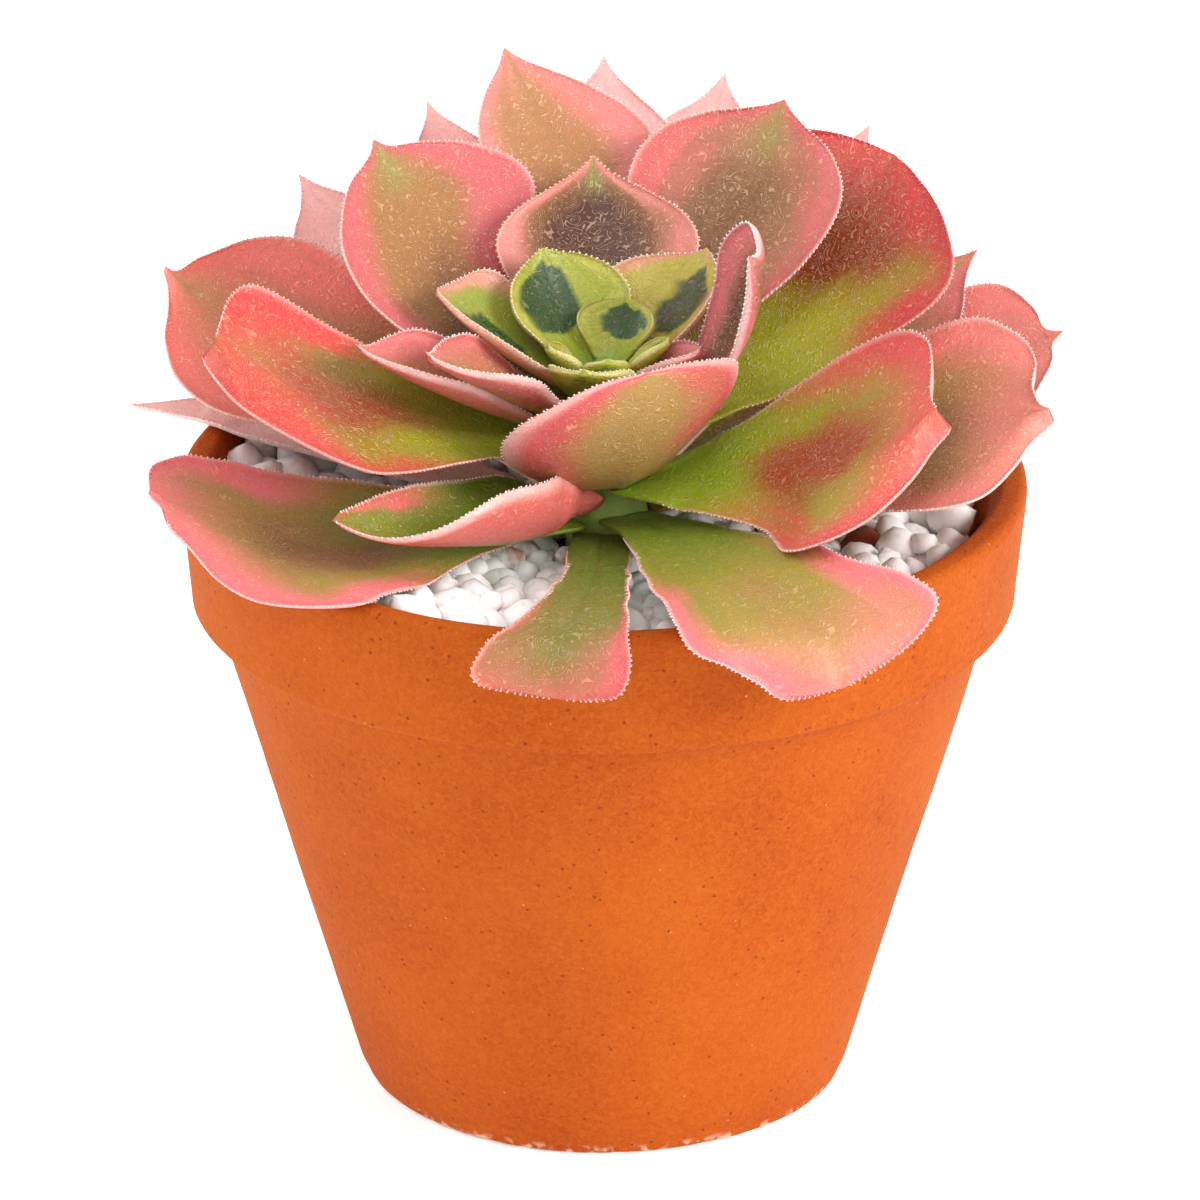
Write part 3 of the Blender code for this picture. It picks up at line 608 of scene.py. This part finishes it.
# Leaves painted in their own way.
OWN_TINTS = {
    "upper_left": Tint("#a08a34 #b8864c #88522a #e0757a #f8cdc4", 0.30, 0.42, 0.9, 0.62, 0.95, 0.1, 1.1),
    "top_left": Tint("#a48e3c #c48c5c #946e30 #f09490 #fbdcd2", 0.50, 0.48, 0.8, 0.54, 0.94, 0.3, 0.3),
    "upper_right": Tint("#a89a40 #ae7c54 #90602f #e27674 #f8cdc4", 0.30, 0.60, 0.9, 0.56, 0.93, 0.2, 0.9),
    "centre_back": Tint("#8a7c20 #94601e #62300e #ec9a90 #f6c9b8", 0.50, 0.72, 1.4, 0.44, 0.95, 0.4, 1.3),
    "right_broad": Tint("#bcc02c #b48c28 #a4501e #dc4448 #f4b0aa", 0.70, 0.80, 1.1, 0.50, 0.88, 0.40),
    "left_out": Tint("#a09a3c #c2845a #a8743c #ee7c70 #f8c8bc", 0.35, 0.60, 0.7, 0.56, 0.84, 0.3, 0.5),
    "right_low": Tint("#a8a23a #b48840 #94682c #f28e84 #fbd6cc", 0.50, 0.62, 0.8, 0.54, 0.86, 0.4),
    "right_far": Tint("#a8983c #c08a5c #98703c #ea8680 #f9d0c8", 0.50, 0.66, 0.7, 0.5, 0.84, 0.4),
    "right_front": Tint("#9fc01c #b0a42c #b4562a #ea6462 #fbc8c0", 0.52, 0.66, 1.2, 0.50, 0.86, 0.45),
    "front_small": Tint("#6f8a12 #8c8620 #a07c38 #ea7074 #f6b8b0", 0.86, 0.98, 0.6, 0.22, 1.0, 0.76),
    "front_right": Tint("#86a018 #ac9c34 #b48c44 #f2868a #fcd0d0", 0.66, 0.86, 0.5, 0.34, 0.95, 0.55),
    "front_left": Tint("#93a81e #b0943a #9a6c34 #f4868a #fac4c0", 0.62, 0.74, 0.9, 0.50, 0.90, 0.5),
    "front_cup": Tint("#a8a840 #c8a468 #bc905c #e86c74 #fbd4cc", 0.22, 0.60, 0.4, 0.72, 1.1, 0.1, 0.3),
    "left_curled": Tint("#8aa420 #95982e #84882a #ee7e78 #fde0da", 0.8, 0.50, 0.3, 0.30, 1.1, 0.6),
    "left_fold_low": Tint("#98a038 #d08a68 #b07a54 #ea8484 #fbdcd6", 0.40, 0.60, 0.3, 0.76, 0.84, 0.3),
    "left_fold_high": Tint("#98a038 #c08a60 #a07a44 #ea8484 #fbdcd6", 0.40, 0.60, 0.3, 0.70, 0.86, 0.3),
    "right_fold": Tint("#a09a48 #a8705c #7c4c34 #e4848a #fde4e0", 0.30, 0.66, 1.0, 0.60, 0.96, 0.2, 0.3),
    "left_inner": Tint("#98a83c #a9b048 #38601c #e8a692 #f8dcc6", 0.20, 0.58, 2.2, 0.40, 0.96),
    "right_inner": Tint("#a0a840 #c6b850 #48521c #dfa484 #f4d6be", 0.20, 0.64, 1.7, 0.36, 1.0),
    "pink_inner": Tint("#b0a050 #d89880 #b08060 #e48c8c #f8d0c8", 0.25, 0.6, 0.4, 0.8, 0.85),
}
# Young leaves keep a sharp dark patch; how far it lies to the left of the midrib, in half widths.
PATCH_SIDES = {"heart_left": 0.25, "heart_middle": -0.2, "right_inner": -0.35, "left_inner": 0.3}
SLOTS = {"pale": "leaf_pale_rose", "rose": "leaf_rose", "red": "leaf_red", "olive": "leaf_olive",
         "heart": "leaf_green"}


def smooth_step(low, high, value):
    """0 below low, 1 above high, eased between."""
    share = np.clip((value - low) / (high - low), 0, 1)
    return share * share * (3 - 2 * share)


def grain_of(along, over, seed):
    """Smooth noise from -1 to 1 on a grid of places."""
    pairs = np.broadcast(along, over)
    return np.array([noise.noise((a, b, seed)) for a, b in pairs]).reshape(pairs.shape)


def smooth_edge(points, share):
    """Places along a smooth curve through an edge's points, at these shares of its length."""
    points = np.array(points, float)
    padded = np.concatenate([[2 * points[0] - points[1]], points, [2 * points[-1] - points[-2]]])
    fine = []
    for first, second, third, fourth in zip(padded, padded[1:], padded[2:], padded[3:]):
        for part in np.arange(8)[:, None] / 8:
            fine.append(0.5 * (2 * second + (third - first) * part
                               + (2 * first - 5 * second + 4 * third - fourth) * part ** 2
                               + (3 * second - first - 3 * third + fourth) * part ** 3))
    fine = np.concatenate([np.array(fine).reshape(-1, 2), points[-1:]])
    ways = np.concatenate([[0], np.cumsum(np.hypot(np.diff(fine[:, 0]), 0.4 * np.diff(fine[:, 1])))])
    return np.stack([np.interp(share * ways[-1], ways, fine[:, axis]) for axis in range(2)], 1)


def leaf_edges(leaf, share):
    """The left-hand and right-hand edges: place along, and mm to the left of the midrib."""
    outline = OUTLINES.get(leaf.name, (SPOON,))
    left = smooth_edge(outline[0], share)
    right = smooth_edge(outline[-1], share)
    left[:, 1] *= 0.5 * leaf.width
    right[:, 1] *= -0.5 * leaf.width
    return left, right


def leaf_frames(leaf, places):
    """The midrib's points in mm, and its along, across (to the left) and up directions."""
    steps = np.linspace(0, 1.1, MIDRIB_STEPS + 1)
    climb = np.radians(leaf.rise + leaf.curl * np.minimum(steps, 1) ** leaf.lateness)
    heading = np.radians(leaf.heading + leaf.sway * steps)
    along = np.stack([np.cos(heading) * np.cos(climb), np.sin(heading) * np.cos(climb), np.sin(climb)], 1)
    leftwards = np.stack([-np.sin(heading), np.cos(heading), 0 * heading], 1)
    upwards = np.cross(along, leftwards)
    roll = np.radians(leaf.roll) * np.minimum(1, steps / ROLL_REACH)[:, None]
    across = leftwards * np.cos(roll) + upwards * np.sin(roll)
    seat_radius = crown_radius(CROWN_FOOT + leaf.seat) + SEAT_GAP
    seat = seat_radius * np.array([math.cos(heading[0]), math.sin(heading[0]), 0])
    seat[2] = CROWN_FOOT + leaf.seat
    strides = 0.5 * (along[1:] + along[:-1]) * leaf.length * steps[1]
    points = seat + np.concatenate([[[0, 0, 0]], np.cumsum(strides, 0)])

    def pick(values):
        return np.stack([np.interp(places, steps, values[:, axis]) for axis in range(3)], -1)

    return pick(points), pick(along), pick(across), pick(np.cross(along, across))


def leaf_colours(leaf, tint, place, side, top, seed):
    """Paint for every point of a leaf: green foot, darker middle, blushed margins, pale rim."""
    foot, body, patch, blush, rim = (np.array(linear_colour(code)[:3]) for code in tint.colours.split())
    cloud = grain_of(place * 4.5, side * 1.8 + 0.5 * top, seed)
    blotch = grain_of(place * 10, side * 4, seed + 20)
    streak = grain_of(place * 1.8, side * 12, seed + 40)
    foot_end = place + 0.16 * side ** 2 + 0.12 * cloud
    green = 1 - smooth_step(0.4 * tint.foot_reach, 1.3 * tint.foot_reach, foot_end)
    young = leaf.tint == "heart"
    patch_length, patch_width = (0.26, 0.56) if young else (0.24, 0.50)
    patch_along = (place - tint.patch_place) / patch_length
    patch_across = (side - PATCH_SIDES.get(leaf.name, 0)) / patch_width
    middle = np.exp(-patch_along ** 2 - patch_across ** 2)
    middle = middle * tint.patch_share * (1.1 + 0.8 * cloud + 0.35 * blotch + 0.4 * streak)
    middle = smooth_step(0.75, 1.05, middle) if young else smooth_step(0.05, 0.95, middle)
    middle = middle * np.where(top, 1, 0.4)
    inwards = np.abs(side) + 0.22 * cloud + 0.10 * blotch + 0.08 * streak
    flush = smooth_step(0.95 - tint.margin, 1.02 - 0.3 * tint.margin, inwards)
    begun = place + 0.1 * cloud + 0.1 * (np.abs(side) - 0.5)
    flush = flush * smooth_step(tint.start - 0.1, tint.start + 0.3, begun)
    closing = smooth_step(tint.end - 0.10, tint.end + 0.14, place + 0.1 * np.abs(side) + 0.07 * cloud)
    flush = 1 - (1 - flush) * (1 - 0.85 * closing)
    if leaf.name == "left_curled":  # its outer face, turned up, is blushed all over
        flush = np.where(top, flush, np.maximum(flush, smooth_step(0.0, 0.35, side)))
    stripe = smooth_step(0.80, 0.93, place) * np.exp(-(side / 0.32) ** 2)
    stripe = stripe * tint.stripe * np.where(top, 1, 0.3)
    colour = body + (foot - body) * green[..., None]
    colour = colour + (patch - colour) * middle[..., None]
    colour = colour + (blush - colour) * flush[..., None]
    stripe_colour = 0.55 * np.array(linear_colour("#aeb060")[:3]) + 0.45 * foot
    colour = colour + (stripe_colour - colour) * np.clip(stripe * (0.75 + 0.3 * streak), 0, 0.85)[..., None]
    pale = np.where(top, smooth_step(0.955, 1.0, np.abs(side)), smooth_step(0.80, 1.0, np.abs(side)))
    pale = pale * smooth_step(0.15, 0.4, place) * 0.75
    colour = colour + (rim - colour) * pale[..., None]
    return colour ** LEAF_CONTRAST * (1 + 0.08 * streak)[..., None] * LEAF_DEPTH


def leaf_teeth(rim_points, outwards, along, up, places, draw):
    """Soft teeth along one margin: small closed spikes leaning towards the tip."""
    points = []
    faces = []
    ways = np.concatenate([[0], np.cumsum(np.linalg.norm(np.diff(rim_points, axis=0), axis=1))])
    start = np.interp(0.2, places, ways)
    for way in np.arange(start, ways[-1] - 0.8, TOOTH_PITCH):
        way += draw.uniform(-0.25, 0.25)
        at, out, on, high = (np.array([np.interp(way, ways, values[:, axis]) for axis in range(3)])
                             for values in (rim_points, outwards, along, up))
        size = draw.uniform(*TOOTH_SIZES)
        first = len(points)
        base = at - 0.25 * out
        points += [base + TOOTH_FOOT * on, base + TOOTH_FOOT * high]
        points += [base - TOOTH_FOOT * on, base - TOOTH_FOOT * high]
        points.append(at + size * out + draw.uniform(0.1, 0.5) * on + draw.uniform(-0.15, 0.2) * high)
        faces += [[first + corner, first + (corner + 1) % 4, first + 4] for corner in range(4)]
        faces.append([first + 3, first + 2, first + 1, first])
    return points, faces


def leaf_surface(leaf, number):
    """A leaf's closed surface, row by row from the seat.

    Gives its points in mm, their place along the leaf and across it, which of them are on the
    upper side, how far the channel has bent there, and the directions across and up.
    """
    share = np.linspace(0, 1, ROWS + 1)
    left, right = leaf_edges(leaf, share)
    turn = np.arange(AROUND) / AROUND * math.tau
    side = np.cos(turn)[None, :] + 0 * share[:, None]
    to_left = (0.5 * (1 + side))[..., None]
    flat = left[:, None] * to_left + right[:, None] * (1 - to_left)
    place = flat[..., 0]
    top = (np.sin(turn) > 0)[None, :] & (place > -1)
    half = 0.5 * np.hypot(left[:, 1] - right[:, 1], leaf.length * (left[:, 0] - right[:, 0]))[:, None]
    free = smooth_step(0.15, 0.5, place) * np.clip(half / 6, 0, 1)
    raggedness = OLIVE_RAGGEDNESS if leaf.tint == "olive" else RAGGEDNESS
    left_edge = grain_of(share * leaf.length / RAGGED_LENGTH, 0, number + 0.3)[:, None]
    right_edge = grain_of(share * leaf.length / RAGGED_LENGTH, 9, number + 0.3)[:, None]
    off_rib = flat[..., 1] + raggedness * free * side * np.where(side > 0, left_edge, right_edge)
    centre, along, across, up = leaf_frames(leaf, place)
    swell = np.sin(np.pi / 2 * np.clip(place / leaf.widest, 0.25, 1))
    cup = np.radians(leaf.cup) * np.minimum(1, 0.4 + 2 * place) * np.where(off_rib > 0, 1, leaf.right_cup)
    curve = cup / (0.5 * leaf.width * swell)
    thickness = SEAT_THICKNESS + (TIP_THICKNESS - SEAT_THICKNESS) * np.minimum(place, 1)
    depth = thickness * (1 - MARGIN_THINNING * side ** 2) * np.clip(half / 1.1, 0.15, 1)
    roundness = np.sign(np.sin(turn)) * np.abs(np.sin(turn)) ** 0.3
    lift = -0.5 * depth * (1 - roundness[None, :])
    # Rims roll up, margins wave or hang, a groove runs along the middle and a keel under it.
    lift = lift + RIM_ROLL * np.clip((np.abs(side) - 0.88) / 0.12, 0, 1) ** 2 * free
    wave = np.where(side > 0, grain_of(share * leaf.length / MARGIN_WAVE_LENGTH, 3, number)[:, None],
                    grain_of(share * leaf.length / MARGIN_WAVE_LENGTH, 6, number)[:, None])
    lift = lift + MARGIN_WAVE * wave * side ** 4 * free
    left_droop, right_droop = DROOPS.get(leaf.name, (0, 0))
    hang = np.where(side > 0, left_droop, right_droop) * smooth_step(0.2, 1.1, np.abs(side))
    lift = lift - hang * smooth_step(0.25, 0.7, place)
    groove = GROOVE_DEPTH * np.exp(-(side / 0.09) ** 2) + 0.10 * grain_of(place * 1.5, side * 10, number + 5)
    keel = KEEL_DEPTH * np.exp(-(side / 0.12) ** 2) * (1 - smooth_step(0.2, 0.9, place))
    lift = lift - np.where(top, groove, keel) * np.clip(half / 5, 0, 1)
    bend = curve * off_rib
    out = np.sin(bend) / curve - np.sin(bend) * lift
    high = (1 - np.cos(bend)) / curve + np.cos(bend) * lift
    grid = centre + across * out[..., None] + up * high[..., None]
    if leaf.seat < LOW_SEAT:
        # Where the leaf crosses the pot's lip it rests on it, and hangs close to the collar outside.
        reach = np.hypot(grid[..., 0], grid[..., 1])
        outside = np.clip(reach - RIM_RADIUS, 0, None)
        inside = np.clip(INNER_LIP_RADIUS + 0.3 - reach, 0, None)
        lip = POT_HEIGHT + LIP_CLEARANCE - 1.1 * outside - 0.25 * inside
        lowest = np.minimum(grid[..., 2], grid[:, (-np.arange(AROUND)) % AROUND, 2])
        grid[..., 2] += np.clip(lip - lowest, 0, LIP_LIFT)
    return grid, place, side, top, bend, across, up


def rolled_blade(name, grid, colours):
    """Roll a flat sheet into a closed blade through a grid of points, and lay on its paint."""
    bpy.ops.object.select_all(action="DESELECT")
    bpy.ops.mesh.primitive_grid_add(x_subdivisions=AROUND, y_subdivisions=ROWS, size=1)
    piece = bpy.context.object
    piece.name = name
    mesh = piece.data
    wrapped = np.concatenate([grid, grid[:, :1]], 1)
    mesh.vertices.foreach_set("co", np.ravel(wrapped * MM))
    colours = np.concatenate([colours, colours[:, :1]], 1).reshape(-1, 3)
    paint = mesh.color_attributes.new("leaf_paint", "FLOAT_COLOR", "POINT")
    paint.data.foreach_set("color", np.ravel(np.c_[colours, np.ones(len(colours))]))
    bpy.ops.object.mode_set(mode="EDIT")
    bpy.ops.mesh.select_all(action="SELECT")
    bpy.ops.mesh.remove_doubles(threshold=0.002 * MM)
    bpy.ops.mesh.select_all(action="DESELECT")
    bpy.ops.mesh.select_non_manifold()
    bpy.ops.mesh.edge_face_add()
    bpy.ops.mesh.select_all(action="SELECT")
    bpy.ops.mesh.normals_make_consistent(inside=False)
    bpy.ops.object.mode_set(mode="OBJECT")
    return piece


def join_teeth(piece, name, points, faces, colour):
    """Make one mesh of all the teeth, in the rim's colour, and join it to the blade."""
    teeth_mesh = bpy.data.meshes.new(name)
    teeth_mesh.from_pydata(np.array(points) * MM, [], faces)
    paint = teeth_mesh.color_attributes.new("leaf_paint", "FLOAT_COLOR", "POINT")
    paint.data.foreach_set("color", colour * len(points))
    teeth = bpy.data.objects.new(name, teeth_mesh)
    bpy.context.scene.collection.objects.link(teeth)
    teeth.select_set(True)
    bpy.context.view_layer.objects.active = teeth
    bpy.ops.object.mode_set(mode="EDIT")
    bpy.ops.mesh.select_all(action="SELECT")
    bpy.ops.mesh.normals_make_consistent(inside=False)
    bpy.ops.object.mode_set(mode="OBJECT")
    bpy.context.view_layer.objects.active = piece
    piece.select_set(True)
    bpy.ops.object.join()


def leaf_piece(leaf, number):
    """One closed leaf with its rolled rims, teeth and paint."""
    tint = OWN_TINTS.get(leaf.name) or TINTS[leaf.tint]
    draw = np.random.default_rng(100 + number)
    grid, place, side, top, bend, across, up = leaf_surface(leaf, number)
    colours = leaf_colours(leaf, tint, place, side, top, number * 3.7)
    piece = rolled_blade(leaf.name + "_blade", grid, colours)
    if leaf.length >= TOOTHLESS_LENGTH:
        spikes = []
        spike_faces = []
        for column, sign in ((0, 1), (AROUND // 2, -1)):
            rim = grid[:, column]
            bend_here = bend[:, column, None]
            ahead = np.gradient(rim, axis=0)
            ahead /= np.linalg.norm(ahead, axis=1)[:, None]
            high_here = up[:, column] * np.cos(bend_here) - across[:, column] * np.sin(bend_here)
            outwards = sign * np.cross(ahead, high_here)
            points, faces = leaf_teeth(rim, outwards, ahead, high_here, place[:, column], draw)
            spike_faces += [[index + len(spikes) for index in face] for face in faces]
            spikes += points
        rim_colour = linear_colour(tint.colours.split()[-1])
        join_teeth(piece, leaf.name + "_teeth", spikes, spike_faces, rim_colour)
    piece.data.shade_smooth()
    return piece


def leaf_skin(name, stroke_depth, roughness):
    """A succulent leaf's skin: waxy, satin and slightly translucent, as it grew.

    Fine pale strokes wind over it, broken every millimetre or so, with a red dot about every four
    millimetres and a low relief of beads of one to two millimetres.
    """
    material, tree, shader = new_material(name)
    place = add_node(tree, "TexCoord").outputs["Object"]
    paint = add_node(tree, "Attribute", attribute_name="leaf_paint").outputs["Color"]
    line_noise = add_node(tree, "TexNoise", {"Vector": place, "Scale": 340, "Detail": 0.5, "Distortion": 1.4})
    turns = add_node(tree, "Math", {0: line_noise.outputs["Fac"], 1: 60}, operation="MULTIPLY")
    waves = add_node(tree, "Math", {0: turns.outputs[0]}, operation="SINE")
    lines = add_node(tree, "MapRange", {0: waves.outputs[0], 1: 0.3, 2: 0.95})
    gap_noise = add_node(tree, "TexNoise", {"Vector": place, "Scale": 900, "Detail": 1}).outputs["Fac"]
    gaps = add_node(tree, "MapRange", {0: gap_noise, 1: 0.32, 2: 0.5})
    strokes = add_node(tree, "Math", {0: lines.outputs[0], 1: gaps.outputs[0]}, operation="MULTIPLY")
    stroke_share = add_node(tree, "Math", {0: strokes.outputs[0], 1: stroke_depth}, operation="MULTIPLY")
    stroke_colour = add_node(tree, "Mix", {0: stroke_share.outputs[0], 6: paint, 7: linear_colour("#f6cfac")},
                             data_type="RGBA")
    dots = add_node(tree, "TexVoronoi", {"Vector": place, "Scale": 260})
    dot_share = add_node(tree, "MapRange", {0: dots.outputs["Distance"], 1: 0.03, 2: 0.07, 3: 0.45, 4: 0.0})
    dot_colour = add_node(tree, "Mix", {0: dot_share.outputs[0], 6: stroke_colour.outputs[2],
                                        7: linear_colour("#9c3a2c")}, data_type="RGBA")
    tree.links.new(dot_colour.outputs[2], shader.inputs["Base Color"])
    drops = add_node(tree, "TexVoronoi", {"Vector": place, "Scale": 620})
    drop_height = add_node(tree, "MapRange", {0: drops.outputs["Distance"], 1: 0.0, 2: 0.4, 3: 0.7, 4: 0.0})
    relief = add_node(tree, "Math", {0: strokes.outputs[0], 1: drop_height.outputs[0]}, operation="ADD")
    bump = add_node(tree, "Bump", {"Strength": 0.6, "Distance": 0.25 * MM, "Height": relief.outputs[0]})
    tree.links.new(bump.outputs[0], shader.inputs["Normal"])
    shader.inputs["Roughness"].default_value = roughness
    shader.inputs["Subsurface Weight"].default_value = 0.2
    shader.inputs["Subsurface Radius"].default_value = (1.0, 0.5, 0.25)
    shader.inputs["Subsurface Scale"].default_value = 1.0 * MM
    return material


skins = {
    "pale": leaf_skin("succulent_leaf_skin_pale_rose", 0.30, 0.45),
    "rose": leaf_skin("succulent_leaf_skin_rose", 0.29, 0.42),
    "red": leaf_skin("succulent_leaf_skin_red", 0.27, 0.40),
    "olive": leaf_skin("succulent_leaf_skin_olive", 0.20, 0.42),
    "heart": leaf_skin("succulent_leaf_skin_young_green", 0.14, 0.38),
}
for number, leaf in enumerate(LEAVES):
    finish_piece(leaf_piece(leaf, number), skins[leaf.tint], SLOTS[leaf.tint], leaf.name + "_leaf")

# ---------------------------------------------------------------------------
# Stage: a plain pale floor, a large soft key light at the right, weaker ones at the left, above
# and in front, and an even white surround; the camera looks slightly down from the front.
# ---------------------------------------------------------------------------

bpy.ops.object.select_all(action="DESELECT")
bpy.ops.mesh.primitive_plane_add(size=12, location=(0, 0, -0.1 * MM))
floor = bpy.context.object
floor.name = "studio_floor"
paper, tree, shader = new_material("white_studio_paper")
shader.inputs["Base Color"].default_value = linear_colour("#fafafa")
shader.inputs["Emission Color"].default_value = linear_colour("#ffffff")
shader.inputs["Emission Strength"].default_value = 0.3
shader.inputs["Roughness"].default_value = 0.9
floor.data.materials.append(paper)

world = bpy.data.worlds.new("white_surround")
world.use_nodes = True
world.node_tree.nodes["Background"].inputs["Color"].default_value = linear_colour("#ffffff")
world.node_tree.nodes["Background"].inputs["Strength"].default_value = 0.82
bpy.context.scene.world = world


def soft_light(name, place, target, size, power):
    """A square area light that faces a point."""
    light = bpy.data.lights.new(name, "AREA")
    light.size = size
    light.energy = power
    lamp = bpy.data.objects.new(name, light)
    lamp.location = place
    lamp.rotation_euler = (Vector(target) - Vector(place)).to_track_quat("-Z", "Y").to_euler()
    bpy.context.scene.collection.objects.link(lamp)


soft_light("key_light", (1.3, -0.6, 0.8), (0, 0, 0.08), 0.8, 24)
soft_light("left_light", (-1.3, 0.3, 0.6), (0, 0, 0.10), 0.7, 8)
soft_light("top_light", (-0.3, -0.5, 1.5), (0, 0, 0.12), 0.9, 6)
soft_light("front_light", (-0.3, -1.6, 0.7), (0, 0, 0.10), 1.0, 4)

CAMERA_TARGET = (-0.7 * MM, 0, 88.7 * MM)
CAMERA_DISTANCE = 2.5
CAMERA_ELEVATION = 22.9
CAMERA_LENS = 422

camera_data = bpy.data.cameras.new("camera")
camera_data.lens = CAMERA_LENS
camera_data.sensor_width = 36
camera = bpy.data.objects.new("camera", camera_data)
elevation = math.radians(CAMERA_ELEVATION)
backwards = Vector((0, -math.cos(elevation), math.sin(elevation)))
camera.location = Vector(CAMERA_TARGET) + CAMERA_DISTANCE * backwards
camera.rotation_euler = (math.radians(90) - elevation, 0, 0)
bpy.context.scene.collection.objects.link(camera)
bpy.context.scene.camera = camera
bpy.context.scene.view_settings.view_transform = "Standard"
